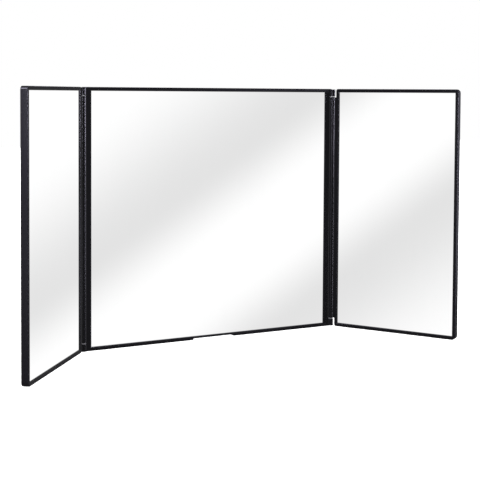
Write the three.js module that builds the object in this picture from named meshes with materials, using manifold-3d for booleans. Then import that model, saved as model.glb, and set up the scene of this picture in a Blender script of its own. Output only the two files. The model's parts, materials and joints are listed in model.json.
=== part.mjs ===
// Three-panel folding table mirror: a centre mirror with two half-width wings that close over it like doors.
// Millimetres, +Z up, +Y to the back. The origin is the bottom centre of the mirror as it stands.

import * as THREE from 'three';
import { mergeVertices } from 'three/addons/utils/BufferGeometryUtils.js';
import Module from 'manifold-3d';

const wasm = await Module();
wasm.setup();

// Overall sizes
const panelHeight = 280;
const hingeSpacing = 311; // left hinge axis to right hinge axis
const leftFold = 50; // degrees that each wing is folded forward from flat
const rightFold = 60;

// Rims, seen from the front
const rimFace = 3.7; // at every edge without a hinge
const centreStile = 9.3; // hinge axis to the centre mirror's visible edge
const wingStile = 7.8; // hinge axis to a wing mirror's visible edge
const lipOverhang = 1; // how far the front lip covers the glass
const freeCorner = 4.2; // outline radius at corners without a hinge
const hingeCorner = 1.6; // outline radius at corners beside a hinge
const edgeRound = 1; // rounding along front and back edges

// Layers, from the front
const lipDepth = 1.8;
const glassThick = 2;
const foamThick = 0.8;
const coverThick = 1.9;
const coverSunk = 0.3; // back cover below the frame's back edge
const seatGap = 0.25; // between one layer and the next
const glassPlay = 0.3;
const foamInset = 8;
const coverPlay = 0.3;
const coverCorner = 1.2;

// Hinges
const barrelRadius = 3.1;
const barrelPlay = 0.4; // barrel to the cove in the centre stile
const axisProud = 0.6; // hinge axis in front of the rims
const sideGap = 0.25; // each panel's side to the hinge axis plane
const closeGap = 1; // between the two wings' free edges when closed
const knuckleInset = 0.6; // knuckle end below the panel's end
const knuckleLength = 8;
const reliefGap = 1.3; // knuckle to the wing corner that is cut back beside it
const reliefCorner = 2.2; // rounding of that corner
const runGap = 0.3; // along the axis, at each face of a bush flange
const pinRadius = 1;
const pinSunk = 0.5; // pin end below the knuckle's end
const pinReach = 7.5; // pin length inside the barrel
const pinPress = 0.06; // pin to knuckle bore
const pinRun = 0.08; // pin to bush bore
const bushWall = 0.92;
const bushLength = 7;
const bushPress = 0.06; // bush to barrel bore
const flangeInset = 0.35; // flange edge inside the barrel's surface
const flangeThick = 0.6;
const boreSpare = 1.5; // barrel bore past the pin's end

// Back cover tabs
const tabInset = 36; // from the end of the visible mirror to the tab's middle
const tabLength = 12;
const tabThick = 0.9;
const tabHold = 0.6; // into the frame's wall
const tabPlay = 0.25;

// Feet and finger notch
const footLength = 20;
const footWidth = 4.2;
const footInset = 16; // from the end of the visible mirror to the foot's middle
const footSunk = 0.9;
const footProud = 0.4;
const footPlay = 0.15;
const notchWidth = 53;
const notchDepth = 1.7;
const notchSlope = 1.2; // how far each end of the notch leans in

const roundSides = 24;
const cornerSteps = 4;
const cutPast = 1; // cutters run past the surface they cut

// Worked out from the sizes above
const hingeX = hingeSpacing / 2;
const wingReach = hingeX - closeGap / 2;
const glassFront = lipDepth + seatGap;
const foamFront = glassFront + glassThick + seatGap;
const coverFront = foamFront + foamThick + seatGap;
const coverBack = coverFront + coverThick;
const panelDepth = coverBack + coverSunk;
const knuckleEnd = knuckleInset + knuckleLength;
const barrelEnd = knuckleEnd + flangeThick + 2 * runGap;
const reliefReach = barrelRadius + reliefGap;
const bushRadius = pinRadius + pinRun + bushWall;
const flangeRadius = barrelRadius - flangeInset;

const plasticBlack = { color: 0x17171a, roughness: 0.42, metalness: 0 };
const plasticBack = { color: 0x1c1c1f, roughness: 0.6, metalness: 0 };
const mirrorSilver = { color: 0xe6e9ea, roughness: 0.04, metalness: 1 };
const foamGrey = { color: 0x4a4c50, roughness: 0.95, metalness: 0 };
const footRubber = { color: 0x222224, roughness: 0.85, metalness: 0 };
const pinSteel = { color: 0xb4b7bb, roughness: 0.28, metalness: 1 };
const bushGrey = { color: 0x65656c, roughness: 0.5, metalness: 0 };

// Solids and meshes

function toSolid(geometry) {
  geometry.deleteAttribute('normal');
  geometry.deleteAttribute('uv');
  const merged = mergeVertices(geometry);
  return new wasm.Manifold(new wasm.Mesh({
    numProp: 3,
    vertProperties: new Float32Array(merged.attributes.position.array),
    triVerts: new Uint32Array(merged.index.array),
  }));
}

function toMesh(name, solid, finish) {
  const { vertProperties, triVerts } = solid.getMesh();
  const geometry = new THREE.BufferGeometry();
  geometry.setAttribute('position', new THREE.BufferAttribute(vertProperties, 3));
  geometry.setIndex(new THREE.BufferAttribute(triVerts, 1));
  geometry.computeVertexNormals();
  const mesh = new THREE.Mesh(geometry, new THREE.MeshStandardMaterial(finish));
  mesh.name = name;
  return mesh;
}

// Corner radii run anticlockwise from the low left corner.
function roundedOutline({ x0, x1, z0, z1 }, radii) {
  const [a, b, c, d] = radii;
  const shape = new THREE.Shape();
  shape.absarc(x0 + a, z0 + a, a, Math.PI, Math.PI * 1.5);
  shape.absarc(x1 - b, z0 + b, b, Math.PI * 1.5, Math.PI * 2);
  shape.absarc(x1 - c, z1 - c, c, 0, Math.PI * 0.5);
  shape.absarc(x0 + d, z1 - d, d, Math.PI * 0.5, Math.PI);
  return shape;
}

// A plate whose outline stands in X and Z, from y = front to y = back.
function plate(shape, front, back, round = 0) {
  const geometry = new THREE.ExtrudeGeometry(shape, {
    depth: back - front - 2 * round,
    curveSegments: cornerSteps,
    bevelEnabled: round > 0,
    bevelThickness: round,
    bevelSize: round,
    bevelOffset: -round,
    bevelSegments: 3,
  });
  geometry.rotateX(Math.PI / 2);
  geometry.translate(0, back - round, 0);
  return toSolid(geometry);
}

function block({ x0, x1, z0, z1 }, front, back) {
  const geometry = new THREE.BoxGeometry(x1 - x0, back - front, z1 - z0);
  geometry.translate((x0 + x1) / 2, (front + back) / 2, (z0 + z1) / 2);
  return toSolid(geometry);
}

function rod(x, y, [z0, z1], radius) {
  const geometry = new THREE.CylinderGeometry(radius, radius, z1 - z0, roundSides);
  geometry.rotateX(Math.PI / 2);
  geometry.translate(x, y, (z0 + z1) / 2);
  return toSolid(geometry);
}

function domedRod(x, y, [z0, z1], radius, round) {
  const profile = [
    new THREE.Vector2(0, z0),
    new THREE.Vector2(radius - round, z0),
    new THREE.Vector2(radius, z0 + round),
    new THREE.Vector2(radius, z1 - round),
    new THREE.Vector2(radius - round, z1),
    new THREE.Vector2(0, z1),
  ];
  const geometry = new THREE.LatheGeometry(profile, roundSides);
  geometry.rotateX(Math.PI / 2);
  geometry.rotateY(Math.PI);
  geometry.rotateX(Math.PI);
  geometry.translate(x, y, 0);
  return toSolid(geometry);
}

// Places

function grow({ x0, x1, z0, z1 }, by) {
  return { x0: x0 - by, x1: x1 + by, z0: z0 - by, z1: z1 + by };
}

function spanX(side, near, far) {
  const [x0, x1] = side > 0 ? [near, far] : [-far, -near];
  return { x0, x1 };
}

// Heights measured from the bottom end or, the other way up, from the top end.
function spanZ(end, near, far) {
  return end === 'bottom' ? [near, far] : [panelHeight - far, panelHeight - near];
}

function viewSpace({ x0, x1 }) {
  return { x0, x1, z0: rimFace, z1: panelHeight - rimFace };
}

const centreView = viewSpace({ x0: centreStile - hingeX, x1: hingeX - centreStile });
const wingView = (side) => viewSpace(spanX(side, wingStile, wingReach - rimFace));

function tabBoxes(view, reach, play) {
  const wall = grow(view, lipOverhang);
  const halfLength = tabLength / 2 + play;
  const boxes = [];
  for (const x of [view.x0 + tabInset, view.x1 - tabInset]) {
    const along = { x0: x - halfLength, x1: x + halfLength };
    boxes.push({ ...along, z0: wall.z0 - reach, z1: wall.z0 + tabHold + coverPlay });
    boxes.push({ ...along, z0: wall.z1 - tabHold - coverPlay, z1: wall.z1 + reach });
  }
  for (const z of [view.z0 + tabInset, view.z1 - tabInset]) {
    const along = { z0: z - halfLength, z1: z + halfLength };
    boxes.push({ ...along, x0: wall.x0 - reach, x1: wall.x0 + tabHold + coverPlay });
    boxes.push({ ...along, x0: wall.x1 - tabHold - coverPlay, x1: wall.x1 + reach });
  }
  return boxes;
}

function tabSolids(view, reach, play) {
  const middle = (coverFront + coverBack) / 2;
  const half = tabThick / 2 + play;
  return tabBoxes(view, reach, play).map((box) => block(box, middle - half, middle + half));
}

function footPlaces(view) {
  return [view.x0 + footInset, view.x1 - footInset];
}

function footSolid(x, play, z0, z1) {
  const radius = footWidth / 2 + play;
  const reach = footLength / 2 - footWidth / 2;
  const y = panelDepth / 2;
  const shape = new THREE.Shape();
  shape.absarc(x + reach, y, radius, -Math.PI / 2, Math.PI / 2);
  shape.absarc(x - reach, y, radius, Math.PI / 2, Math.PI * 1.5);
  const geometry = new THREE.ExtrudeGeometry(shape, { depth: z1 - z0, curveSegments: 8, bevelEnabled: false });
  geometry.translate(0, 0, z0);
  return toSolid(geometry);
}

// Frames

function hollowFrame(body, view) {
  const wall = grow(view, lipOverhang);
  let frame = body.subtract(block(view, -cutPast - barrelRadius, lipDepth + cutPast));
  frame = frame.subtract(block(wall, lipDepth, panelDepth + cutPast));
  for (const pocket of tabSolids(view, tabHold + tabPlay, tabPlay)) frame = frame.subtract(pocket);
  for (const x of footPlaces(view)) frame = frame.subtract(footSolid(x, footPlay, -cutPast, footSunk + footPlay));
  return frame;
}

function fingerNotch() {
  const shape = new THREE.Shape();
  shape.moveTo(-notchWidth / 2, -cutPast);
  shape.lineTo(notchWidth / 2, -cutPast);
  shape.lineTo(notchWidth / 2, 0);
  shape.lineTo(notchWidth / 2 - notchSlope, notchDepth);
  shape.lineTo(notchSlope - notchWidth / 2, notchDepth);
  shape.lineTo(-notchWidth / 2, 0);
  return plate(shape, -cutPast, panelDepth + cutPast);
}

function centreFrame() {
  const half = hingeX - sideGap;
  const corners = [hingeCorner, hingeCorner, hingeCorner, hingeCorner];
  const outline = roundedOutline({ x0: -half, x1: half, z0: 0, z1: panelHeight }, corners);
  let frame = plate(outline, 0, panelDepth, edgeRound);
  const coveSpan = [knuckleEnd, panelHeight - knuckleEnd];
  for (const x of [-hingeX, hingeX]) {
    frame = frame.subtract(rod(x, -axisProud, coveSpan, barrelRadius + barrelPlay));
    for (const end of ['bottom', 'top']) {
      const knuckle = domedRod(x, -axisProud, spanZ(end, knuckleInset, knuckleEnd), barrelRadius, edgeRound / 2);
      const bore = rod(x, -axisProud, spanZ(end, knuckleInset - cutPast, knuckleEnd + cutPast), pinRadius + pinPress);
      frame = frame.add(knuckle).subtract(bore);
    }
  }
  return hollowFrame(frame, centreView).subtract(fingerNotch());
}

// What is cut off to round the wing's corner beside a knuckle
function cornerWaste(side, end) {
  const size = reliefCorner;
  const [w0, w1] = spanZ(end, -cutPast, size);
  const [k0, k1] = spanZ(end, 0, 3 * size);
  const corners = [0, 0, 0, 0];
  corners[end === 'bottom' ? (side > 0 ? 0 : 1) : (side > 0 ? 3 : 2)] = size;
  const kept = { ...spanX(side, reliefReach, reliefReach + 3 * size), z0: k0, z1: k1 };
  const waste = { ...spanX(side, reliefReach - cutPast, reliefReach + size), z0: w0, z1: w1 };
  return block(waste, -cutPast, panelDepth + cutPast)
    .subtract(plate(roundedOutline(kept, corners), -2 * cutPast, panelDepth + 2 * cutPast));
}

function wingFrame(side) {
  const panel = { ...spanX(side, sideGap, wingReach), z0: 0, z1: panelHeight };
  const corners = side > 0
    ? [hingeCorner, freeCorner, freeCorner, hingeCorner]
    : [freeCorner, hingeCorner, hingeCorner, freeCorner];
  let frame = plate(roundedOutline(panel, corners), 0, panelDepth, edgeRound);
  frame = frame.add(rod(0, -axisProud, [barrelEnd, panelHeight - barrelEnd], barrelRadius));
  for (const end of ['bottom', 'top']) {
    const [z0, z1] = spanZ(end, -cutPast, barrelEnd);
    const relief = { ...spanX(side, -barrelRadius - cutPast, reliefReach), z0, z1 };
    const bore = rod(0, -axisProud, spanZ(end, 0, barrelEnd + pinReach + boreSpare), bushRadius + bushPress);
    frame = frame.subtract(block(relief, -axisProud - barrelRadius - cutPast, panelDepth + cutPast));
    frame = frame.subtract(cornerWaste(side, end));
    frame = frame.subtract(bore);
  }
  return hollowFrame(frame, wingView(side));
}

// What each frame holds

function panelLayers(name, view) {
  const square = [0, 0, 0, 0];
  const softCorners = [coverCorner, coverCorner, coverCorner, coverCorner];
  const glassOutline = roundedOutline(grow(view, lipOverhang - glassPlay), square);
  const foamOutline = roundedOutline(grow(view, -foamInset), square);
  const coverOutline = roundedOutline(grow(view, lipOverhang - coverPlay), softCorners);
  let cover = plate(coverOutline, coverFront, coverBack);
  for (const tab of tabSolids(view, tabHold, 0)) cover = cover.add(tab);
  return [
    toMesh(`${name}_mirror`, plate(glassOutline, glassFront, glassFront + glassThick), mirrorSilver),
    toMesh(`${name}_foam_pad`, plate(foamOutline, foamFront, foamFront + foamThick), foamGrey),
    toMesh(`${name}_back_cover`, cover, plasticBack),
  ];
}

function panelFeet(view, names) {
  const places = footPlaces(view);
  return names.map((name, i) => toMesh(name, footSolid(places[i], 0, -footProud, footSunk), footRubber));
}

function hingePin(name, x, end) {
  const span = spanZ(end, knuckleInset + pinSunk, barrelEnd + pinReach);
  return toMesh(name, rod(x, -axisProud, span, pinRadius), pinSteel);
}

function hingeBush(name, end) {
  const flangeFace = barrelEnd - runGap - flangeThick;
  const flange = rod(0, -axisProud, spanZ(end, flangeFace, flangeFace + flangeThick), flangeRadius);
  const sleeve = rod(0, -axisProud, spanZ(end, flangeFace, barrelEnd + bushLength), bushRadius);
  const bore = rod(0, -axisProud, spanZ(end, 0, barrelEnd + bushLength + cutPast), pinRadius + pinRun);
  return toMesh(name, flange.add(sleeve).subtract(bore), bushGrey);
}

// Assembly

function centrePanel() {
  const panel = new THREE.Group();
  panel.add(toMesh('centre_frame', centreFrame(), plasticBlack));
  panel.add(...panelLayers('centre', centreView));
  panel.add(...panelFeet(centreView, ['centre_foot_left', 'centre_foot_right']));
  for (const end of ['top', 'bottom']) {
    panel.add(hingePin(`hinge_pin_left_${end}`, -hingeX, end));
    panel.add(hingePin(`hinge_pin_right_${end}`, hingeX, end));
  }
  return panel;
}

function wing(name, side, fold) {
  const panel = new THREE.Group();
  const footNames = [`${name}_wing_foot_inner`, `${name}_wing_foot_outer`];
  panel.add(toMesh(`${name}_wing_frame`, wingFrame(side), plasticBlack));
  panel.add(...panelLayers(`${name}_wing`, wingView(side)));
  panel.add(...panelFeet(wingView(side), side > 0 ? footNames : footNames.reverse()));
  for (const end of ['top', 'bottom']) panel.add(hingeBush(`hinge_bush_${name}_${end}`, end));
  panel.position.y = axisProud;
  const hinge = new THREE.Group();
  hinge.position.set(side * hingeX, -axisProud, 0);
  hinge.rotation.z = -side * THREE.MathUtils.degToRad(fold);
  hinge.add(panel);
  return hinge;
}

const group = new THREE.Group();
group.add(centrePanel(), wing('left', -1, leftFold), wing('right', 1, rightFold));
group.updateMatrixWorld(true);
const extent = new THREE.Box3().setFromObject(group, true);
const middle = extent.getCenter(new THREE.Vector3());
group.position.set(-middle.x, -middle.y, -extent.min.z);

export default group;
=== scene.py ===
import json
import math

import bmesh
import bpy
from mathutils import Matrix, Vector


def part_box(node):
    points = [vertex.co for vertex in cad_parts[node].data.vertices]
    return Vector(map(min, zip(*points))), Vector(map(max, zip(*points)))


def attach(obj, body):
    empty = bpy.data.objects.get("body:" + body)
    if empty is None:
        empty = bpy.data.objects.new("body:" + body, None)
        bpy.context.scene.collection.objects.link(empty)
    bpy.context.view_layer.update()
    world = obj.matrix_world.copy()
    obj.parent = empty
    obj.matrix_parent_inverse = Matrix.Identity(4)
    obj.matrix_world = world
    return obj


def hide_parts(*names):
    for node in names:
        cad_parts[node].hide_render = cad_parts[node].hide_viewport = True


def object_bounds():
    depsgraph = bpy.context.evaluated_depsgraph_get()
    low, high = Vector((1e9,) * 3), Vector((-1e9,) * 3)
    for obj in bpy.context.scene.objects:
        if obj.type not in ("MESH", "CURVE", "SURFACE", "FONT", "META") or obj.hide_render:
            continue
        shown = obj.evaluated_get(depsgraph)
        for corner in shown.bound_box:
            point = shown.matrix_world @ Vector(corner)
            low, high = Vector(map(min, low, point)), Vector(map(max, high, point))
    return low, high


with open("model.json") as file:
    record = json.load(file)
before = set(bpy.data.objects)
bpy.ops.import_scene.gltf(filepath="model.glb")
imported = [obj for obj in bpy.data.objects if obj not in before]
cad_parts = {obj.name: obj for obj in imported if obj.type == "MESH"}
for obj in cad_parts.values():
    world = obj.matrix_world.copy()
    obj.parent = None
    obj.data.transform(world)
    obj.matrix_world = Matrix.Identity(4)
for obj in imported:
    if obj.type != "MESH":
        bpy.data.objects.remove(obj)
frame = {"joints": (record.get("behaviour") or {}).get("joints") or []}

cadBox = [list(corner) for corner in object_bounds()]
scene = bpy.context.scene
tiny = 0.02  # pieces are modelled at one unit to the millimetre, then brought to size

# where things are, from the frame
glassLow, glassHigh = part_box("centre_mirror")
frameLow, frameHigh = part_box("centre_frame")
centreX = (glassLow.x + glassHigh.x) / 2
hinges = {joint["child"]: joint for joint in frame["joints"]}
hingePlace = {body: Vector(joint["pos_m"]) for body, joint in hinges.items()}


# camera
cameraSetup = {
    "aside": -0.6035,  # from the middle of the centre mirror
    "inFront": 1.1593,  # from the centre glass
    "height": 0.2739,  # above the frames' bottom edge
    "yaw": 28.78,
    "pitch": 2.75,
    "roll": 0.34,
    "lens": 88.03,
    "shiftY": -0.1875,
}


def cameraTurn():
    yaw = Matrix.Rotation(math.radians(-cameraSetup["yaw"]), 3, "Z")
    tilt = Matrix.Rotation(math.radians(90 - cameraSetup["pitch"]), 3, "X")
    roll = Matrix.Rotation(math.radians(cameraSetup["roll"]), 3, "Z")
    return yaw @ tilt @ roll


def addCamera():
    data = bpy.data.cameras.new("camera")
    data.lens = cameraSetup["lens"]
    data.shift_y = cameraSetup["shiftY"]
    camera = bpy.data.objects.new("camera", data)
    camera.location = (centreX + cameraSetup["aside"],
                       glassLow.y - cameraSetup["inFront"],
                       frameLow.z + cameraSetup["height"])
    camera.rotation_euler = cameraTurn().to_euler()
    scene.collection.objects.link(camera)
    scene.camera = camera


addCamera()
scene.view_settings.view_transform = "Standard"
print("camera placed")


# tools of the bench
def clearPick():
    bpy.ops.object.select_all(action="DESELECT")


def hold(piece):
    clearPick()
    piece.select_set(True)
    bpy.context.view_layer.objects.active = piece


def startBlock(name, low, high):
    clearPick()
    middle = [(a + b) / 2 for a, b in zip(low, high)]
    size = [b - a for a, b in zip(low, high)]
    bpy.ops.mesh.primitive_cube_add(size=1, location=middle, scale=size)
    piece = bpy.context.active_object
    piece.name = piece.data.name = name
    bpy.ops.object.transform_apply(location=True, rotation=True, scale=True)
    return piece


def startRod(name, place, span, radius, sides=64):
    clearPick()
    middle = (place[0], place[1], (span[0] + span[1]) / 2)
    bpy.ops.mesh.primitive_cylinder_add(vertices=sides, radius=radius, depth=span[1] - span[0],
                                        location=middle)
    piece = bpy.context.active_object
    piece.name = piece.data.name = name
    bpy.ops.object.transform_apply(location=True, rotation=True, scale=True)
    return piece


def editOn(piece, kind):
    hold(piece)
    bpy.ops.object.mode_set(mode="EDIT")
    bpy.ops.mesh.select_mode(type=kind)
    bpy.ops.mesh.select_all(action="DESELECT")


def editOff():
    bpy.ops.object.mode_set(mode="OBJECT")


def pickFaces(piece, test):
    bpy.ops.mesh.select_all(action="DESELECT")
    mesh = bmesh.from_edit_mesh(piece.data)
    for face in [f for f in mesh.faces if test(f.calc_center_median(), f.normal)]:
        face.select_set(True)
    bmesh.update_edit_mesh(piece.data)


def pickEdges(piece, test):
    bpy.ops.mesh.select_all(action="DESELECT")
    mesh = bmesh.from_edit_mesh(piece.data)
    for edge in [e for e in mesh.edges if test(*[v.co for v in e.verts], e)]:
        edge.select_set(True)
    bmesh.update_edit_mesh(piece.data)


def pickVerts(piece, test):
    bpy.ops.mesh.select_all(action="DESELECT")
    mesh = bmesh.from_edit_mesh(piece.data)
    for vert in [v for v in mesh.verts if test(v.co)]:
        vert.select_set(True)
    bmesh.update_edit_mesh(piece.data)


def slide(x=0, y=0, z=0):
    bpy.ops.transform.translate(value=(x, y, z))


def pushFaces(x=0, y=0, z=0):
    bpy.ops.mesh.extrude_region_move(TRANSFORM_OT_translate={"value": (x, y, z)})


def roundEdges(size, steps):
    bpy.ops.mesh.bevel(offset=size, segments=steps, profile=0.5, affect="EDGES", clamp_overlap=True)


def isSharp(edge):
    return len(edge.link_faces) == 2 and edge.calc_face_angle(0) > math.radians(30)


def combine(piece, others, how="DIFFERENCE"):
    clearPick()
    for other in others:
        other.select_set(True)
    bpy.context.view_layer.objects.active = others[0]
    if len(others) > 1:
        bpy.ops.object.join()
    tool = bpy.context.active_object
    hold(piece)
    modifier = piece.modifiers.new("combine", "BOOLEAN")
    modifier.operation = how
    modifier.solver = "EXACT"
    modifier.object = tool
    bpy.ops.object.modifier_apply(modifier=modifier.name)
    bpy.data.objects.remove(tool)


def copyOf(piece, name):
    other = piece.copy()
    other.data = piece.data.copy()
    other.name = other.data.name = name
    scene.collection.objects.link(other)
    return other


def smooth(piece, angle=32):
    hold(piece)
    bpy.ops.object.shade_smooth_by_angle(angle=math.radians(angle))
    modifier = piece.modifiers.new("flatFaces", "WEIGHTED_NORMAL")
    modifier.keep_sharp = True
    bpy.ops.object.modifier_apply(modifier=modifier.name)


def turned(piece, degrees, axis):
    hold(piece)
    piece.rotation_euler["XYZ".index(axis)] = math.radians(degrees)
    bpy.ops.object.transform_apply(location=True, rotation=True, scale=True)


def panelPlace(body):
    lift = Matrix.Translation((0, 0, frameLow.z))
    size = Matrix.Scale(0.001, 4)
    if body == "centre_panel":
        front = hingePlace["left_wing"].y + hingeSetup["proud"] / 1000
        return lift @ Matrix.Translation((centreX, front, 0)) @ size
    joint = hinges[body]
    turn = math.radians(joint["range_deg"][0]) * joint["axis"][2]
    place = hingePlace[body]
    onAxis = Matrix.Translation((0, hingeSetup["proud"] / 1000, 0))
    return (lift @ Matrix.Translation((place.x, place.y, 0))
            @ Matrix.Rotation(-turn, 4, "Z") @ onAxis @ size)


def settle(piece, body, node, finishes):
    piece.data.materials.clear()
    for finish in finishes:
        piece.data.materials.append(finish)
    hold(piece)
    piece.matrix_world = panelPlace(body) @ piece.matrix_world
    bpy.ops.object.transform_apply(location=True, rotation=True, scale=True)
    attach(piece, body)
    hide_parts(node)
    piece.visible_glossy = False  # the mirrors stay clear of the frames around them
    return piece


# shared shader groups
def newGroup(name, inputs, outputs):
    group = bpy.data.node_groups.new(name, "ShaderNodeTree")
    for label, kind, value in inputs:
        socket = group.interface.new_socket(name=label, in_out="INPUT", socket_type=kind)
        if value is not None:
            socket.default_value = value
    for label, kind in outputs:
        group.interface.new_socket(name=label, in_out="OUTPUT", socket_type=kind)
    return group, group.nodes.new("NodeGroupInput"), group.nodes.new("NodeGroupOutput")


def feed(tree, value, socket):
    if hasattr(value, "is_output"):
        tree.links.new(value, socket)
    else:
        socket.default_value = value


def addNode(tree, kind, settings=None, **values):
    node = tree.nodes.new(kind)
    for key, value in (settings or {}).items():
        setattr(node, key, value)
    for key, value in values.items():
        feed(tree, value, node.inputs[key.replace("_", " ")])
    return node


def addMath(tree, operation, *values):
    node = tree.nodes.new("ShaderNodeMath")
    node.operation = operation
    for socket, value in zip(node.inputs, values):
        feed(tree, value, socket)
    return node.outputs[0]


def addRange(tree, value, low, high, toLow=0.0, toHigh=1.0):
    node = tree.nodes.new("ShaderNodeMapRange")
    node.interpolation_type = "SMOOTHSTEP"
    tree.links.new(value, node.inputs["Value"])
    for label, number in (("From Min", low), ("From Max", high), ("To Min", toLow), ("To Max", toHigh)):
        feed(tree, number, node.inputs[label])
    return node.outputs["Result"]


def addDot(tree, vector, direction):
    node = tree.nodes.new("ShaderNodeVectorMath")
    node.operation = "DOT_PRODUCT"
    tree.links.new(vector, node.inputs[0])
    feed(tree, direction, node.inputs[1])
    return node.outputs["Value"]


def addNoise(tree, place, scale, detail=2.0, roughness=0.5):
    node = addNode(tree, "ShaderNodeTexNoise", Vector=place, Scale=scale, Detail=detail, Roughness=roughness)
    return node.outputs["Fac"]


def makeWornEdges():
    inputs = [("Place", "NodeSocketVector", None), ("Reach", "NodeSocketFloat", 0.0006),
              ("Patch Scale", "NodeSocketFloat", 60.0)]
    group, given, out = newGroup("wornEdges", inputs, [("Mask", "NodeSocketFloat")])
    rounded = addNode(group, "ShaderNodeBevel", {"samples": 4}, Radius=given.outputs["Reach"])
    surface = group.nodes.new("ShaderNodeNewGeometry")
    flat = addDot(group, rounded.outputs["Normal"], surface.outputs["Normal"])
    edge = addRange(group, flat, 0.995, 0.9, 0.0, 1.0)
    patch = addNoise(group, given.outputs["Place"], given.outputs["Patch Scale"], 4.0, 0.6)
    mask = addMath(group, "MULTIPLY", edge, addRange(group, patch, 0.42, 0.7))
    group.links.new(mask, out.inputs["Mask"])
    return group


def makeFineGrain():
    inputs = [("Place", "NodeSocketVector", None), ("Grain Scale", "NodeSocketFloat", 1500.0),
              ("Swell Scale", "NodeSocketFloat", 90.0), ("Swell", "NodeSocketFloat", 0.3)]
    outputs = [("Height", "NodeSocketFloat"), ("Tone", "NodeSocketFloat")]
    group, given, out = newGroup("fineGrain", inputs, outputs)
    place = given.outputs["Place"]
    grain = addNoise(group, place, given.outputs["Grain Scale"], 3.0, 0.55)
    cells = addNode(group, "ShaderNodeTexVoronoi", {"feature": "SMOOTH_F1"},
                    Vector=place, Scale=given.outputs["Grain Scale"])
    swell = addNoise(group, place, given.outputs["Swell Scale"], 2.0, 0.5)
    fine = addMath(group, "ADD", addMath(group, "MULTIPLY", grain, 0.6),
                   addMath(group, "MULTIPLY", cells.outputs["Distance"], 0.4))
    height = addMath(group, "ADD", fine, addMath(group, "MULTIPLY", swell, given.outputs["Swell"]))
    group.links.new(height, out.inputs["Height"])
    group.links.new(addMath(group, "MULTIPLY", addMath(group, "ADD", grain, swell), 0.5), out.inputs["Tone"])
    return group


def makeDustFilm():
    inputs = [("Place", "NodeSocketVector", None), ("Speck Scale", "NodeSocketFloat", 900.0),
              ("Amount", "NodeSocketFloat", 0.5)]
    group, given, out = newGroup("dustFilm", inputs, [("Mask", "NodeSocketFloat")])
    surface = group.nodes.new("ShaderNodeNewGeometry")
    upward = addRange(group, addDot(group, surface.outputs["Normal"], (0, 0, 1)), 0.35, 0.95)
    film = addRange(group, addNoise(group, given.outputs["Place"], 38.0, 5.0, 0.6), 0.3, 0.75)
    specks = addNoise(group, given.outputs["Place"], given.outputs["Speck Scale"], 1.0)
    specks = addRange(group, specks, 0.66, 0.74)
    lying = addMath(group, "MULTIPLY", upward, addMath(group, "MAXIMUM", film, specks))
    loose = addMath(group, "MULTIPLY", specks, 0.25)
    mask = addMath(group, "MULTIPLY", addMath(group, "MAXIMUM", lying, loose), given.outputs["Amount"])
    group.links.new(mask, out.inputs["Mask"])
    return group


def makeSmears():
    inputs = [("Place", "NodeSocketVector", None), ("Smear Scale", "NodeSocketFloat", 14.0),
              ("Low", "NodeSocketFloat", 0.01), ("High", "NodeSocketFloat", 0.03)]
    outputs = [("Roughness", "NodeSocketFloat"), ("Mask", "NodeSocketFloat")]
    group, given, out = newGroup("smears", inputs, outputs)
    place = given.outputs["Place"]
    broad = addNoise(group, place, given.outputs["Smear Scale"], 4.0, 0.55)
    stretched = addNode(group, "ShaderNodeMapping", Vector=place, Scale=(60.0, 60.0, 9.0))
    wipes = addNoise(group, stretched.outputs["Vector"], 1.0, 5.0, 0.65)
    mask = addRange(group, addMath(group, "MULTIPLY", addMath(group, "ADD", broad, wipes), 0.5), 0.4, 0.68)
    group.links.new(addRange(group, mask, 0.0, 1.0, given.outputs["Low"], given.outputs["High"]),
                    out.inputs["Roughness"])
    group.links.new(mask, out.inputs["Mask"])
    return group


groups = {"wornEdges": makeWornEdges(), "fineGrain": makeFineGrain(),
          "dustFilm": makeDustFilm(), "smears": makeSmears()}
print("shader groups ready")


# finishes
finishSetup = {
    "framePlastic": {"dark": (0.0006, 0.00056, 0.00078), "light": (0.0011, 0.00103, 0.0014),
                     "worn": (0.003, 0.003, 0.0036), "rough": (0.36, 0.46), "specular": 0.0,
                     "coat": 0.13, "coatRough": 0.2, "dust": 0.04},
    "coverPlastic": {"dark": (0.006, 0.006, 0.0064), "light": (0.010, 0.010, 0.0106),
                     "worn": (0.024, 0.024, 0.026), "rough": (0.5, 0.68), "specular": 0.15,
                     "coat": 0.05, "coatRough": 0.5, "dust": 0.3},
    # the silver's near-black edge colour is a painted reflection of the black lip and painted shade where the
    # glass meets it
    "silver": {"clear": (0.93, 0.93, 0.93), "paintedLipShade": (0.006, 0.006, 0.007), "hazy": (0.922, 0.923, 0.924)},
    "footRubber": {"dark": (0.009, 0.009, 0.009), "light": (0.018, 0.018, 0.018)},
    # the foam's dark colour goes into the sunk cell hollows as painted shade in the pores
    "foam": {"dark": (0.05, 0.052, 0.058), "light": (0.1, 0.1, 0.11)},
    "pinSteel": {"dark": (0.46, 0.47, 0.49), "light": (0.64, 0.65, 0.67)},
    "bushAcetal": {"dark": (0.1, 0.1, 0.115), "light": (0.15, 0.15, 0.17)},
}


def newFinish(name):
    material = bpy.data.materials.new(name)
    material.use_nodes = True
    tree = material.node_tree
    shader = tree.nodes["Principled BSDF"]
    place = tree.nodes.new("ShaderNodeTexCoord").outputs["Object"]
    return material, tree, shader, place


def useGroup(tree, name, place, **values):
    node = tree.nodes.new("ShaderNodeGroup")
    node.node_tree = groups[name]
    tree.links.new(place, node.inputs["Place"])
    for key, value in values.items():
        node.inputs[key.replace("_", " ")].default_value = value
    return node


def blendColours(tree, share, first, second):
    node = tree.nodes.new("ShaderNodeMix")
    node.data_type = "RGBA"
    tree.links.new(share, node.inputs["Factor"])
    for index, value in ((6, first), (7, second)):
        feed(tree, value if hasattr(value, "is_output") else (*value, 1), node.inputs[index])
    return node.outputs[2]


def addBump(tree, shader, height, strength, depth):
    bump = addNode(tree, "ShaderNodeBump", Height=height, Strength=strength, Distance=depth)
    tree.links.new(bump.outputs["Normal"], shader.inputs["Normal"])


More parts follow.
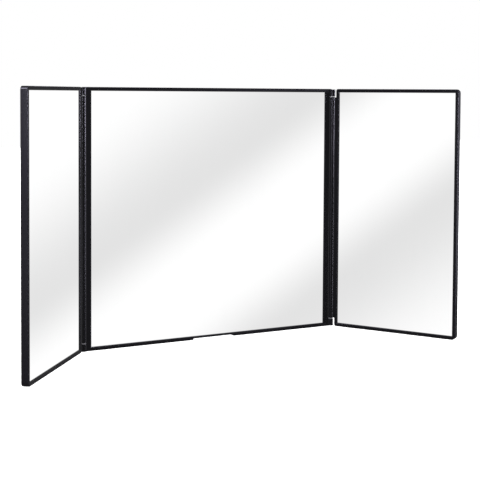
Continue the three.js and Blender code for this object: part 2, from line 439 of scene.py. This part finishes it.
def mouldedPlastic(name, grainScale, bumpDepth):
    look = finishSetup[name]
    material, tree, shader, place = newFinish(name)
    grain = useGroup(tree, "fineGrain", place, Grain_Scale=grainScale, Swell_Scale=70.0, Swell=0.15)
    worn = useGroup(tree, "wornEdges", place, Reach=0.0004, Patch_Scale=55.0)
    dust = useGroup(tree, "dustFilm", place, Speck_Scale=1100.0, Amount=look["dust"])
    colour = blendColours(tree, grain.outputs["Tone"], look["dark"], look["light"])
    colour = blendColours(tree, worn.outputs["Mask"], colour, look["worn"])
    colour = blendColours(tree, dust.outputs["Mask"], colour, (0.09, 0.088, 0.084))
    tree.links.new(colour, shader.inputs["Base Color"])
    low, high = look["rough"]
    tree.links.new(addRange(tree, grain.outputs["Tone"], 0.3, 0.7, low, high), shader.inputs["Roughness"])
    coat = addRange(tree, dust.outputs["Mask"], 0.0, look["dust"], look["coat"], look["coat"] * 0.5)
    tree.links.new(coat, shader.inputs["Coat Weight"])
    shader.inputs["Coat Roughness"].default_value = look["coatRough"]
    shader.inputs["Specular IOR Level"].default_value = look["specular"]
    addBump(tree, shader, grain.outputs["Height"], 0.25, bumpDepth)
    return material


def silvering():
    look = finishSetup["silver"]
    material, tree, shader, place = newFinish("silver")
    smears = useGroup(tree, "smears", place, Smear_Scale=11.0, Low=0.008, High=0.02)
    # a near-black band round the edge of the silvering: painted reflection of the black lip and painted shade
    # in the recess
    paintedLipShade = tree.nodes.new("ShaderNodeAttribute")
    paintedLipShade.attribute_name = "paintedLipShade"
    colour = blendColours(tree, smears.outputs["Mask"], look["clear"], look["hazy"])
    shade = addRange(tree, paintedLipShade.outputs["Fac"], 0.25, 0.85)
    tree.links.new(blendColours(tree, shade, colour, look["paintedLipShade"]), shader.inputs["Base Color"])
    tree.links.new(smears.outputs["Roughness"], shader.inputs["Roughness"])
    shader.inputs["Metallic"].default_value = 1.0
    return material


def groundEdge():
    material, tree, shader, place = newFinish("groundGlassEdge")
    grain = useGroup(tree, "fineGrain", place, Grain_Scale=2600.0, Swell_Scale=300.0, Swell=0.2)
    colour = blendColours(tree, grain.outputs["Tone"], (0.22, 0.3, 0.27), (0.42, 0.52, 0.48))
    tree.links.new(colour, shader.inputs["Base Color"])
    tree.links.new(addRange(tree, grain.outputs["Tone"], 0.3, 0.7, 0.4, 0.6), shader.inputs["Roughness"])
    addBump(tree, shader, grain.outputs["Height"], 0.5, 0.00006)
    return material


def backingPaint():
    material, tree, shader, place = newFinish("backingPaint")
    grain = useGroup(tree, "fineGrain", place, Grain_Scale=700.0, Swell_Scale=120.0, Swell=0.7)
    colour = blendColours(tree, grain.outputs["Tone"], (0.12, 0.13, 0.14), (0.2, 0.21, 0.22))
    tree.links.new(colour, shader.inputs["Base Color"])
    tree.links.new(addRange(tree, grain.outputs["Tone"], 0.3, 0.7, 0.45, 0.65), shader.inputs["Roughness"])
    addBump(tree, shader, grain.outputs["Height"], 0.4, 0.00008)
    return material


def rubber():
    look = finishSetup["footRubber"]
    material, tree, shader, place = newFinish("footRubber")
    grain = useGroup(tree, "fineGrain", place, Grain_Scale=2200.0, Swell_Scale=200.0, Swell=0.3)
    dust = useGroup(tree, "dustFilm", place, Speck_Scale=1600.0, Amount=0.6)
    colour = blendColours(tree, grain.outputs["Tone"], look["dark"], look["light"])
    colour = blendColours(tree, dust.outputs["Mask"], colour, (0.1, 0.1, 0.095))
    tree.links.new(colour, shader.inputs["Base Color"])
    tree.links.new(addRange(tree, grain.outputs["Tone"], 0.3, 0.7, 0.75, 0.92), shader.inputs["Roughness"])
    shader.inputs["Specular IOR Level"].default_value = 0.2
    addBump(tree, shader, grain.outputs["Height"], 0.6, 0.00008)
    return material


def foamSkin():
    look = finishSetup["foam"]
    material, tree, shader, place = newFinish("foam")
    cells = addNode(tree, "ShaderNodeTexVoronoi", {"feature": "DISTANCE_TO_EDGE"}, Vector=place, Scale=1400.0)
    wall = addRange(tree, cells.outputs["Distance"], 0.02, 0.2)
    # the sunk cell hollows are coloured darker: painted shade in the pores
    tree.links.new(blendColours(tree, wall, look["light"], look["dark"]), shader.inputs["Base Color"])
    tree.links.new(addRange(tree, wall, 0.0, 1.0, 0.85, 0.97), shader.inputs["Roughness"])
    shader.inputs["Sheen Weight"].default_value = 0.15
    addBump(tree, shader, addMath(tree, "SUBTRACT", 1.0, wall), 0.7, 0.0002)
    return material


def drawnSteel():
    look = finishSetup["pinSteel"]
    material, tree, shader, place = newFinish("pinSteel")
    along = addNode(tree, "ShaderNodeMapping", Vector=place, Scale=(4200.0, 4200.0, 90.0))
    lines = addNoise(tree, along.outputs["Vector"], 1.0, 4.0, 0.6)
    worn = useGroup(tree, "wornEdges", place, Reach=0.0003, Patch_Scale=200.0)
    colour = blendColours(tree, addRange(tree, lines, 0.3, 0.7), look["dark"], look["light"])
    colour = blendColours(tree, worn.outputs["Mask"], colour, (0.75, 0.76, 0.78))
    tree.links.new(colour, shader.inputs["Base Color"])
    tree.links.new(addRange(tree, lines, 0.3, 0.7, 0.2, 0.38), shader.inputs["Roughness"])
    shader.inputs["Metallic"].default_value = 1.0
    addBump(tree, shader, lines, 0.25, 0.00003)
    return material


def acetal():
    look = finishSetup["bushAcetal"]
    material, tree, shader, place = newFinish("bushAcetal")
    grain = useGroup(tree, "fineGrain", place, Grain_Scale=1800.0, Swell_Scale=260.0, Swell=0.5)
    colour = blendColours(tree, grain.outputs["Tone"], look["dark"], look["light"])
    tree.links.new(colour, shader.inputs["Base Color"])
    tree.links.new(addRange(tree, grain.outputs["Tone"], 0.3, 0.7, 0.38, 0.55), shader.inputs["Roughness"])
    addBump(tree, shader, grain.outputs["Height"], 0.3, 0.00004)
    return material


finishes = {
    "framePlastic": mouldedPlastic("framePlastic", 1700.0, 0.000012),
    "coverPlastic": mouldedPlastic("coverPlastic", 1100.0, 0.00016),
    "silver": silvering(),
    "groundGlassEdge": groundEdge(),
    "backingPaint": backingPaint(),
    "footRubber": rubber(),
    "foam": foamSkin(),
    "pinSteel": drawnSteel(),
    "bushAcetal": acetal(),
}
print("finishes ready")


# sizes that more than one piece needs, in millimetres
panelSetup = {
    "height": (frameHigh.z - frameLow.z) * 1000,
    "depth": 7.55,
    "rim": 3.7,
    "lip": 1.8,  # depth of the lip in front of the glass
    "overhang": 1.0,  # how far the lip covers the glass
    "freeCorner": 4.2,
    "hingeCorner": 1.6,
    "sideGap": 0.25,  # panel side to the plane of the hinge axis
    "closeGap": 0.5,  # a wing's free edge to the middle when it is closed
    "centreStile": 9.3,  # hinge axis to the centre mirror's visible edge
    "wingStile": 7.8,  # hinge axis to a wing mirror's visible edge
}
hingeSetup = {
    "proud": 0.6,  # axis in front of the rims
    "barrel": 3.1,
    "cove": 3.5,
    "knuckleLow": 0.6,
    "knuckleHigh": 8.6,
    "barrelLow": 9.8,
    "reliefReach": 4.4,
    "reliefRound": 2.2,
    "pinHole": 1.06,
    "bushHole": 2.06,
    "bushDepth": 18.8,
}
half = (hingePlace["right_wing"].x - hingePlace["left_wing"].x) * 500  # middle to hinge axis
sideGap, centreStile = panelSetup["sideGap"], panelSetup["centreStile"]
wingReach = half - panelSetup["closeGap"]  # hinge axis to a wing's free edge
wingNear, wingFar = panelSetup["wingStile"], wingReach - panelSetup["rim"]
panels = {
    "centre_panel": {"prefix": "centre", "side": 0, "outer": (sideGap - half, half - sideGap),
                     "view": (centreStile - half, half - centreStile)},
    "left_wing": {"prefix": "left_wing", "side": -1, "outer": (-wingReach, -sideGap),
                  "view": (-wingFar, -wingNear)},
    "right_wing": {"prefix": "right_wing", "side": 1, "outer": (sideGap, wingReach),
                   "view": (wingNear, wingFar)},
}


def bothEnds(low, high):
    return [(low, high), (panelSetup["height"] - high, panelSetup["height"] - low)]


def viewHeights(grow=0.0):
    return panelSetup["rim"] - grow, panelSetup["height"] - panelSetup["rim"] + grow


# back cover tabs, and the pockets that they snap into
tabSetup = {
    "inset": 36,  # from the end of the visible mirror to the tab's middle
    "halfLong": 6,
    "halfThick": 0.45,
    "middle": 6.3,  # behind the rims
    "hold": 0.6,  # into the frame's wall
    "coverGap": 0.3,  # cover's edge to that wall
    "play": 0.25,
}


def tabPlaces(panel, reach, play):
    grown, inset = panelSetup["overhang"], tabSetup["inset"]
    low, high = viewHeights(grown)
    left, right = panel["view"][0] - grown, panel["view"][1] + grown
    halfLong = tabSetup["halfLong"] + play
    hold = tabSetup["hold"] + tabSetup["coverGap"]
    boxes = []
    for x in (panel["view"][0] + inset, panel["view"][1] - inset):
        boxes.append((x - halfLong, x + halfLong, low - reach, low + hold))
        boxes.append((x - halfLong, x + halfLong, high - hold, high + reach))
    for z in (low + grown + inset, high - grown - inset):
        boxes.append((left - reach, left + hold, z - halfLong, z + halfLong))
        boxes.append((right - hold, right + reach, z - halfLong, z + halfLong))
    return boxes


def tabBlocks(panel, reach, play):
    front = tabSetup["middle"] - tabSetup["halfThick"] - play
    back = tabSetup["middle"] + tabSetup["halfThick"] + play
    return [startBlock("tab", (x0, front, z0), (x1, back, z1))
            for x0, x1, z0, z1 in tabPlaces(panel, reach, play)]


# frames
frameSetup = {
    "frontRound": 1.25,
    "backRound": 1.0,
    "lipRound": 0.55,
    "wallRound": 0.25,
    "knuckleRound": 0.5,
    "barrelRound": 0.3,
    "notchWide": 53.0,
    "notchDeep": 1.7,
    "notchLean": 1.2,
    "notchRound": 0.9,
}


def hollowOut(piece, panel):
    rim, depth, lip = panelSetup["rim"], panelSetup["depth"], panelSetup["lip"]
    for y, grow, push in ((0, 0, lip), (depth, panelSetup["overhang"], lip - depth)):
        bpy.ops.mesh.select_mode(type="FACE")
        pickFaces(piece, lambda c, n: abs(c.y - y) < tiny and abs(n.y) > 0.9)
        bpy.ops.mesh.inset(thickness=rim - grow)
        bpy.ops.mesh.select_mode(type="VERT")
        for edge, inner in zip(panel["outer"], panel["view"]):
            inward = 1 if inner > edge else -1
            now = edge + inward * (rim - grow)
            pickVerts(piece, lambda c: abs(c.x - now) < tiny and abs(c.y - y) < tiny)
            slide(x=inner - inward * grow - now)
        bpy.ops.mesh.select_mode(type="FACE")
        pickFaces(piece, lambda c, n: abs(c.y - y) < tiny and panel["view"][0] < c.x < panel["view"][1]
                  and viewHeights()[0] + 5 < c.z < viewHeights()[1] - 5)
        pushFaces(y=push)
    pickFaces(piece, lambda c, n: abs(c.y - lip) < tiny and abs(n.y) > 0.9)
    bpy.ops.mesh.bridge_edge_loops()


def roundOutline(piece, panel):
    depth, height = panelSetup["depth"], panelSetup["height"]
    x0, x1 = panel["outer"]
    bpy.ops.mesh.select_mode(type="EDGE")
    for x, nearHinge in ((x0, panel["side"] >= 0), (x1, panel["side"] <= 0)):
        pickEdges(piece, lambda a, b, e: abs(a.x - x) < tiny and abs(b.x - x) < tiny
                  and abs(a.y - b.y) > depth / 2 and min(a.z, height - a.z) < tiny)
        roundEdges(panelSetup["hingeCorner"] if nearHinge else panelSetup["freeCorner"], 7)
    margin = 1.5  # takes in the wall behind the lip
    low, high = viewHeights(margin)
    left, right = panel["view"][0] - margin, panel["view"][1] + margin

    def inOpening(c):
        return left < c.x < right and low < c.z < high

    for y, outside, inside in ((0, frameSetup["frontRound"], frameSetup["lipRound"]),
                               (depth, frameSetup["backRound"], frameSetup["wallRound"])):
        pickEdges(piece, lambda a, b, e: max(abs(a.y - y), abs(b.y - y)) < tiny and isSharp(e)
                  and not inOpening((a + b) / 2))
        roundEdges(outside, 6)
        pickEdges(piece, lambda a, b, e: max(abs(a.y - y), abs(b.y - y)) < tiny and isSharp(e)
                  and inOpening((a + b) / 2))
        roundEdges(inside, 4)


def roundedRod(name, x, span, radius, size):
    piece = startRod(name, (x, -hingeSetup["proud"]), span, radius)
    editOn(piece, "EDGE")
    pickEdges(piece, lambda a, b, e: abs(a.z - b.z) < tiny and isSharp(e))
    roundEdges(size, 4)
    editOff()
    return piece


def cornerCut(side, top):
    near = side * hingeSetup["reliefReach"]
    size = hingeSetup["reliefRound"]
    x0, x1 = sorted((near - side * 0.5, near + side * size))
    edge, inner = (panelSetup["height"], -1) if top else (0, 1)
    z0, z1 = sorted((edge - inner, edge + inner * size))
    piece = startBlock("cornerCut", (x0, -2, z0), (x1, panelSetup["depth"] + 2, z1))
    kept = startRod("kept", (0, 0), (-9, 9), size)
    turned(kept, 90, "X")
    kept.location = (near + side * size, 3, edge + inner * size)
    combine(piece, [kept])
    return piece


def notchBlock():
    deep, lean = frameSetup["notchDeep"], frameSetup["notchLean"]
    reach = frameSetup["notchWide"] / 2
    piece = startBlock("notch", (-reach, -2, -2), (reach, panelSetup["depth"] + 2, deep))
    editOn(piece, "VERT")
    for side in (-1, 1):
        pickVerts(piece, lambda c: c.x * side > 0 and c.z > 0)
        slide(x=-side * lean)
    bpy.ops.mesh.select_mode(type="EDGE")
    pickEdges(piece, lambda a, b, e: min(a.z, b.z) > 0 and abs(a.y - b.y) > 1)
    roundEdges(frameSetup["notchRound"], 5)
    editOff()
    return piece


def makeFrame(body):
    panel = panels[body]
    side, height, depth = panel["side"], panelSetup["height"], panelSetup["depth"]
    x0, x1 = panel["outer"]
    piece = startBlock(panel["prefix"] + "_surround", (x0, 0, 0), (x1, depth, height))
    editOn(piece, "FACE")
    hollowOut(piece, panel)
    roundOutline(piece, panel)
    editOff()
    cuts = tabBlocks(panel, tabSetup["hold"] + tabSetup["play"], tabSetup["play"])
    cuts += [footBlock("socket", x, footSetup["play"], -1, footSetup["sunk"] + footSetup["play"])
             for x in footPlaces(panel)]
    if side:
        span = (hingeSetup["barrelLow"], height - hingeSetup["barrelLow"])
        barrel = roundedRod("barrel", 0, span, hingeSetup["barrel"], frameSetup["barrelRound"])
        combine(piece, [barrel], "UNION")
        for low, high in bothEnds(-1, hingeSetup["barrelLow"]):
            near, far = sorted((-side * (hingeSetup["barrel"] + 1), side * hingeSetup["reliefReach"]))
            cuts.append(startBlock("relief", (near, -5, low), (far, depth + 1, high)))
        combine(piece, cuts)
        combine(piece, [cornerCut(side, top) for top in (False, True)])
        bores = [startRod("bore", (0, -hingeSetup["proud"]), span, hingeSetup["bushHole"], 48)
                 for span in bothEnds(0, hingeSetup["bushDepth"])]
        combine(piece, bores)
    else:
        inner = (hingeSetup["knuckleHigh"], height - hingeSetup["knuckleHigh"])
        cuts += [startRod("cove", (x, -hingeSetup["proud"]), inner, hingeSetup["cove"])
                 for x in (-half, half)]
        cuts.append(notchBlock())
        combine(piece, cuts)
        knuckles = [roundedRod("knuckle", x, span, hingeSetup["barrel"], frameSetup["knuckleRound"])
                    for x in (-half, half)
                    for span in bothEnds(hingeSetup["knuckleLow"], hingeSetup["knuckleHigh"])]
        combine(piece, knuckles, "UNION")
        bores = [startRod("bore", (x, -hingeSetup["proud"]), span, hingeSetup["pinHole"], 32)
                 for x in (-half, half) for span in bothEnds(-0.4, hingeSetup["knuckleHigh"] + 1)]
        combine(piece, bores)
    smooth(piece)
    return settle(piece, body, panel["prefix"] + "_frame", [finishes["framePlastic"]])


# mirrors
# the dark band round the glass front is a painted reflection of the black lip and painted shade where the
# glass meets it
mirrorSetup = {"front": 2.05, "thick": 2.0, "grow": 0.7, "arris": 0.25, "paintedLipShade": 0.75}


def makeMirror(body):
    panel = panels[body]
    grow, front = mirrorSetup["grow"], mirrorSetup["front"]
    low, high = viewHeights(grow)
    piece = startBlock(panel["prefix"] + "_glass", (panel["view"][0] - grow, front, low),
                       (panel["view"][1] + grow, front + mirrorSetup["thick"], high))
    editOn(piece, "EDGE")
    bpy.ops.mesh.select_all(action="SELECT")
    roundEdges(mirrorSetup["arris"], 2)
    bpy.ops.mesh.select_mode(type="FACE")
    pickFaces(piece, lambda c, n: n.y < -0.99)
    bpy.ops.mesh.inset(thickness=grow - mirrorSetup["arris"])
    bpy.ops.mesh.inset(thickness=mirrorSetup["paintedLipShade"])
    editOff()
    # 1 on the rings at the edge of the front face, where the painted lip reflection and shade go
    paintedLipShade = piece.data.attributes.new("paintedLipShade", "FLOAT", "POINT")
    clear = mirrorSetup["paintedLipShade"] - tiny
    for i, vert in enumerate(piece.data.vertices):
        inside = (panel["view"][0] + clear < vert.co.x < panel["view"][1] - clear
                  and viewHeights()[0] + clear < vert.co.z < viewHeights()[1] - clear)
        paintedLipShade.data[i].value = 0.0 if inside else 1.0
    smooth(piece, 20)
    return settle(piece, body, panel["prefix"] + "_mirror",
                  [finishes["silver"], finishes["groundGlassEdge"], finishes["backingPaint"]])


def paintMirror(piece, body):
    outward = panelPlace(body).to_3x3() @ Vector((0, -1, 0))
    outward.normalize()
    for face in piece.data.polygons:
        facing = face.normal.dot(outward)
        face.material_index = 0 if facing > 0.98 else 2 if facing < -0.98 else 1


# back covers
coverSetup = {"front": 5.35, "back": 7.25, "grow": 0.7, "corner": 1.2, "round": 0.3,
              "border": 4.5, "slope": 0.7, "step": 0.35}


def makeCover(body):
    panel = panels[body]
    grow, back = coverSetup["grow"], coverSetup["back"]
    low, high = viewHeights(grow)
    piece = startBlock(panel["prefix"] + "_backboard", (panel["view"][0] - grow, coverSetup["front"], low),
                       (panel["view"][1] + grow, back, high))
    editOn(piece, "FACE")
    pickFaces(piece, lambda c, n: n.y > 0.9)
    bpy.ops.mesh.inset(thickness=coverSetup["border"])
    bpy.ops.mesh.inset(thickness=coverSetup["slope"], depth=-coverSetup["step"])
    bpy.ops.mesh.select_mode(type="EDGE")
    pickEdges(piece, lambda a, b, e: abs(a.y - b.y) > 1)
    roundEdges(coverSetup["corner"], 6)
    pickEdges(piece, lambda a, b, e: min(a.y, b.y) > back - tiny and isSharp(e))
    roundEdges(coverSetup["round"], 3)
    editOff()
    combine(piece, tabBlocks(panel, tabSetup["hold"], 0), "UNION")
    smooth(piece)
    return settle(piece, body, panel["prefix"] + "_back_cover", [finishes["coverPlastic"]])


# foam sheets between the glass and the back covers
foamSetup = {"front": 4.3, "thick": 0.8, "inset": 8.0, "corner": 2.5, "round": 0.25}


def makeFoam(body):
    panel = panels[body]
    low, high = viewHeights(-foamSetup["inset"])
    front = foamSetup["front"]
    piece = startBlock(panel["prefix"] + "_foam_sheet", (panel["view"][0] + foamSetup["inset"], front, low),
                       (panel["view"][1] - foamSetup["inset"], front + foamSetup["thick"], high))
    editOn(piece, "EDGE")
    pickEdges(piece, lambda a, b, e: abs(a.y - b.y) > tiny)
    roundEdges(foamSetup["corner"], 5)
    pickEdges(piece, lambda a, b, e: abs(a.y - b.y) < tiny and isSharp(e))
    roundEdges(foamSetup["round"], 3)
    editOff()
    smooth(piece, 50)
    settle(piece, body, panel["prefix"] + "_foam_pad", [finishes["foam"]])
    return piece


# feet
footSetup = {
    "inset": 16,  # from the end of the visible mirror to the foot's middle
    "halfLong": 10,
    "halfWide": 2.1,
    "sunk": 0.9,
    "proud": 0.4,
    "play": 0.15,
    "round": 0.15,
    "grooves": 6,
    "grooveSpan": 15.0,  # first groove to last
    "groove": 0.5,
    "grooveDeep": 0.18,
}


def footBlock(name, x, play, low, high):
    reach, wide = footSetup["halfLong"] + play, footSetup["halfWide"] + play
    middle = panelSetup["depth"] / 2
    piece = startBlock(name, (x - reach, middle - wide, low), (x + reach, middle + wide, high))
    editOn(piece, "EDGE")
    pickEdges(piece, lambda a, b, e: abs(a.z - b.z) > tiny)
    roundEdges(wide - 0.01, 10)
    editOff()
    return piece


def footPlaces(panel):
    return [panel["view"][0] + footSetup["inset"], panel["view"][1] - footSetup["inset"]]


def makeFoot():
    piece = footBlock("foot", 0, 0, -footSetup["proud"], footSetup["sunk"])
    editOn(piece, "EDGE")
    pickEdges(piece, lambda a, b, e: max(a.z, b.z) < tiny - footSetup["proud"] and isSharp(e))
    roundEdges(footSetup["round"], 3)
    editOff()
    grooves = []
    spacing = footSetup["grooveSpan"] / (footSetup["grooves"] - 1)
    for i in range(footSetup["grooves"]):
        x = (i - (footSetup["grooves"] - 1) / 2) * spacing
        grooves.append(startBlock("groove", (x - footSetup["groove"] / 2, -1, -1),
                                  (x + footSetup["groove"] / 2, panelSetup["depth"] + 1,
                                   footSetup["grooveDeep"] - footSetup["proud"])))
    combine(piece, grooves)
    smooth(piece)
    return piece


def placeFeet(body, names):
    model = makeFoot()
    for x, name in zip(footPlaces(panels[body]), names):
        piece = copyOf(model, name.replace("foot", "foot_pad"))
        piece.location.x = x
        bpy.context.view_layer.update()
        settle(piece, body, name, [finishes["footRubber"]])
    bpy.data.objects.remove(model)


# hinge pins and bushes
pinSetup = {"radius": 1.0, "low": 1.1, "high": 17.3, "chamfer": 0.25}
bushSetup = {"flange": 2.75, "flangeLow": 8.9, "flangeThick": 0.6, "sleeve": 2.0, "high": 16.8,
             "bore": 1.08, "round": 0.12}


def makePin():
    span = (pinSetup["low"], pinSetup["high"])
    piece = startRod("pin", (0, -hingeSetup["proud"]), span, pinSetup["radius"], 40)
    editOn(piece, "EDGE")
    pickEdges(piece, lambda a, b, e: abs(a.z - b.z) < tiny and isSharp(e))
    roundEdges(pinSetup["chamfer"], 3)
    editOff()
    smooth(piece)
    return piece


def makeBush():
    low, step = bushSetup["flangeLow"], bushSetup["flangeLow"] + bushSetup["flangeThick"]
    piece = startRod("bush", (0, -hingeSetup["proud"]), (low, step), bushSetup["flange"], 48)
    editOn(piece, "FACE")
    pickFaces(piece, lambda c, n: n.z > 0.9)
    bpy.ops.mesh.inset(thickness=bushSetup["flange"] - bushSetup["sleeve"])
    pushFaces(z=bushSetup["high"] - step)
    bpy.ops.mesh.inset(thickness=bushSetup["sleeve"] - bushSetup["bore"])
    pickFaces(piece, lambda c, n: n.z < -0.9)
    bpy.ops.mesh.inset(thickness=bushSetup["flange"] - bushSetup["bore"])
    pickFaces(piece, lambda c, n: abs(n.z) > 0.9 and Vector((c.x, c.y + hingeSetup["proud"])).length < tiny)
    bpy.ops.mesh.bridge_edge_loops()
    bpy.ops.mesh.select_mode(type="EDGE")
    pickEdges(piece, lambda a, b, e: abs(a.z - b.z) < tiny and isSharp(e))
    roundEdges(bushSetup["round"], 2)
    bpy.ops.mesh.select_all(action="SELECT")
    bpy.ops.mesh.normals_make_consistent(inside=False)
    editOff()
    smooth(piece)
    return piece


def placeHingeParts():
    pin, bush = makePin(), makeBush()
    for side, wing in ((-1, "left"), (1, "right")):
        for end in ("bottom", "top"):
            pinPiece = copyOf(pin, f"pin_{wing}_{end}")
            bushPiece = copyOf(bush, f"bush_{wing}_{end}")
            for piece in (pinPiece, bushPiece):
                if end == "top":  # the same part, the other way up
                    turned(piece, 180, "X")
                    piece.location = (0, -2 * hingeSetup["proud"], panelSetup["height"])
            pinPiece.location.x = side * half
            bpy.context.view_layer.update()
            settle(pinPiece, "centre_panel", f"hinge_pin_{wing}_{end}", [finishes["pinSteel"]])
            settle(bushPiece, f"{wing}_wing", f"hinge_bush_{wing}_{end}",
                   [finishes["bushAcetal"]])
    bpy.data.objects.remove(pin)
    bpy.data.objects.remove(bush)


plasticPieces = []
for body in panels:
    plasticPieces.append(makeFrame(body))
    plasticPieces.append(makeCover(body))
    paintMirror(makeMirror(body), body)
    makeFoam(body)
    print(body, "modelled")
placeFeet("centre_panel", ["centre_foot_left", "centre_foot_right"])
placeFeet("left_wing", ["left_wing_foot_outer", "left_wing_foot_inner"])
placeFeet("right_wing", ["right_wing_foot_inner", "right_wing_foot_outer"])
placeHingeParts()
print("feet, pins and bushes placed")


# floor
floorSetup = {"size": 9.0, "light": (0.93, 0.93, 0.93), "dark": (0.9, 0.9, 0.9)}


def addFloor():
    clearPick()
    bpy.ops.mesh.primitive_plane_add(size=floorSetup["size"], location=(0, 0, 0))
    floor = bpy.context.active_object
    floor.name = "studio_floor"
    material, tree, shader, place = newFinish("floorCard")
    mottle = addNoise(tree, place, 3.0, 4.0, 0.5)
    colour = blendColours(tree, mottle, floorSetup["dark"], floorSetup["light"])
    tree.links.new(colour, shader.inputs["Base Color"])
    shader.inputs["Roughness"].default_value = 0.9
    shader.inputs["Specular IOR Level"].default_value = 0.1
    floor.data.materials.append(material)
    floor.visible_glossy = False
    floor.visible_shadow = False  # two lights stand lower than the floor


# world: a white studio, with two slanting grey streaks where each panel looks into it
worldSetup = {
    "white": 1.09,
    "overhead": 0.3,
    "slant": 37.0,
    "lobe": (0.9, 0.945),
    "streaks": (0.0, 0.14),  # where each streak is deepest, across the slant
    "deep": 0.24,
    "outerFade": 0.1,  # on the side away from the other streak
    "innerFade": 0.05,
}


def panelNormals():
    return [(panelPlace(body).to_3x3() @ Vector((0, -1, 0))).normalized() for body in panels]


def addWorld():
    world = bpy.data.worlds.new("studio")
    scene.world = world
    world.use_nodes = True
    tree = world.node_tree
    background = tree.nodes["Background"]
    background.inputs["Color"].default_value = (1, 1, 1, 1)
    direction = tree.nodes.new("ShaderNodeTexCoord").outputs["Generated"]
    height = addDot(tree, direction, (0, 0, 1))
    level = addRange(tree, height, 0.5, 0.85, worldSetup["white"], worldSetup["overhead"])
    turn = cameraTurn()
    right, up, forward = turn.col[0], turn.col[1], -turn.col[2]
    slant = math.radians(worldSetup["slant"])
    first, second = worldSetup["streaks"]
    outer, inner = worldSetup["outerFade"], worldSetup["innerFade"]
    for normal in panelNormals():
        ahead, across, upward = [axis - 2 * axis.dot(normal) * normal for axis in (forward, right, up)]
        depth = addDot(tree, direction, ahead)
        lean = addDot(tree, direction, across * math.sin(slant) - upward * math.cos(slant))
        along = addMath(tree, "DIVIDE", lean, addMath(tree, "MAXIMUM", depth, 0.1))
        tone = 1.0
        for place, before, after in ((first, outer, inner), (second, inner, outer)):
            rise = addRange(tree, along, place - before, place)
            fall = addRange(tree, along, place, place + after, 1.0, 0.0)
            streak = addMath(tree, "MULTIPLY", rise, fall)
            tone = addMath(tree, "SUBTRACT", tone, addMath(tree, "MULTIPLY", streak, worldSetup["deep"]))
        sheen = addMath(tree, "MULTIPLY", tone, worldSetup["white"])
        mix = tree.nodes.new("ShaderNodeMix")
        tree.links.new(addRange(tree, depth, *worldSetup["lobe"]), mix.inputs["Factor"])
        tree.links.new(level, mix.inputs["A"])
        tree.links.new(sheen, mix.inputs["B"])
        level = mix.outputs["Result"]
    path = tree.nodes.new("ShaderNodeLightPath")
    choice = tree.nodes.new("ShaderNodeMix")
    tree.links.new(path.outputs["Is Glossy Ray"], choice.inputs["Factor"])
    choice.inputs["A"].default_value = 1.0
    tree.links.new(level, choice.inputs["B"])
    tree.links.new(choice.outputs["Result"], background.inputs["Strength"])


# lights
lightSetup = {
    "floorSun": {"strength": 5.0, "angle": 70},
    "boxes": [  # direction from the object in degrees, width and height in metres, brightness
        {"name": "frontStrip", "azimuth": -38, "climb": 8, "size": (0.22, 0.5), "glow": 300},
        {"name": "frontLow", "azimuth": -38, "climb": -9, "size": (0.22, 0.3), "glow": 60},
        {"name": "sideStrip", "azimuth": -146, "climb": 10, "size": (0.12, 0.5), "glow": 170},
        {"name": "sideLow", "azimuth": -146, "climb": -9, "size": (0.25, 0.3), "glow": 13},
        {"name": "sideBox", "azimuth": -156, "climb": 6, "size": (0.5, 0.9), "glow": 1.2},
        {"name": "rightBox", "azimuth": 9, "climb": 6, "size": (0.5, 0.9), "glow": 3},
        {"name": "topBox", "azimuth": -161, "climb": 46, "size": (0.5, 0.8), "glow": 60},
        {"name": "rearBox", "azimuth": 60, "climb": 38, "size": (1.0, 0.6), "glow": 16},
        {"name": "rearEdge", "azimuth": 140, "climb": 22, "size": (0.3, 0.9), "glow": 24},
    ],
    "tint": (0.82, 0.79, 1.0),
    "distance": 1.6,
}


def addLights():
    sun = bpy.data.lights.new("floorSun", "SUN")
    sun.energy = lightSetup["floorSun"]["strength"]
    sun.angle = math.radians(lightSetup["floorSun"]["angle"])
    floorSun = bpy.data.objects.new("floorSun", sun)
    onFloor = bpy.data.collections.new("onFloor")
    onFloor.objects.link(bpy.data.objects["studio_floor"])
    floorSun.light_linking.receiver_collection = onFloor
    floorSun.light_linking.blocker_collection = onFloor
    scene.collection.objects.link(floorSun)
    onPlastic = bpy.data.collections.new("onPlastic")
    for piece in plasticPieces:
        onPlastic.objects.link(piece)
    low, high = [Vector(corner) for corner in cadBox]
    middle = (low + high) / 2
    for setup in lightSetup["boxes"]:
        turn, climb = math.radians(setup["azimuth"]), math.radians(setup["climb"])
        away = Vector((math.cos(turn) * math.cos(climb), math.sin(turn) * math.cos(climb), math.sin(climb)))
        light = bpy.data.lights.new(setup["name"], "AREA")
        light.shape = "RECTANGLE"
        light.color = lightSetup["tint"]
        light.size, light.size_y = setup["size"]
        light.energy = setup["glow"] * math.pi * light.size * light.size_y
        lamp = bpy.data.objects.new(setup["name"], light)
        lamp.location = middle + away * lightSetup["distance"]
        lamp.rotation_euler = away.to_track_quat("Z", "Y").to_euler()
        lamp.visible_camera = False
        lamp.light_linking.receiver_collection = onPlastic
        scene.collection.objects.link(lamp)


addFloor()
addWorld()
addLights()
print("studio ready")
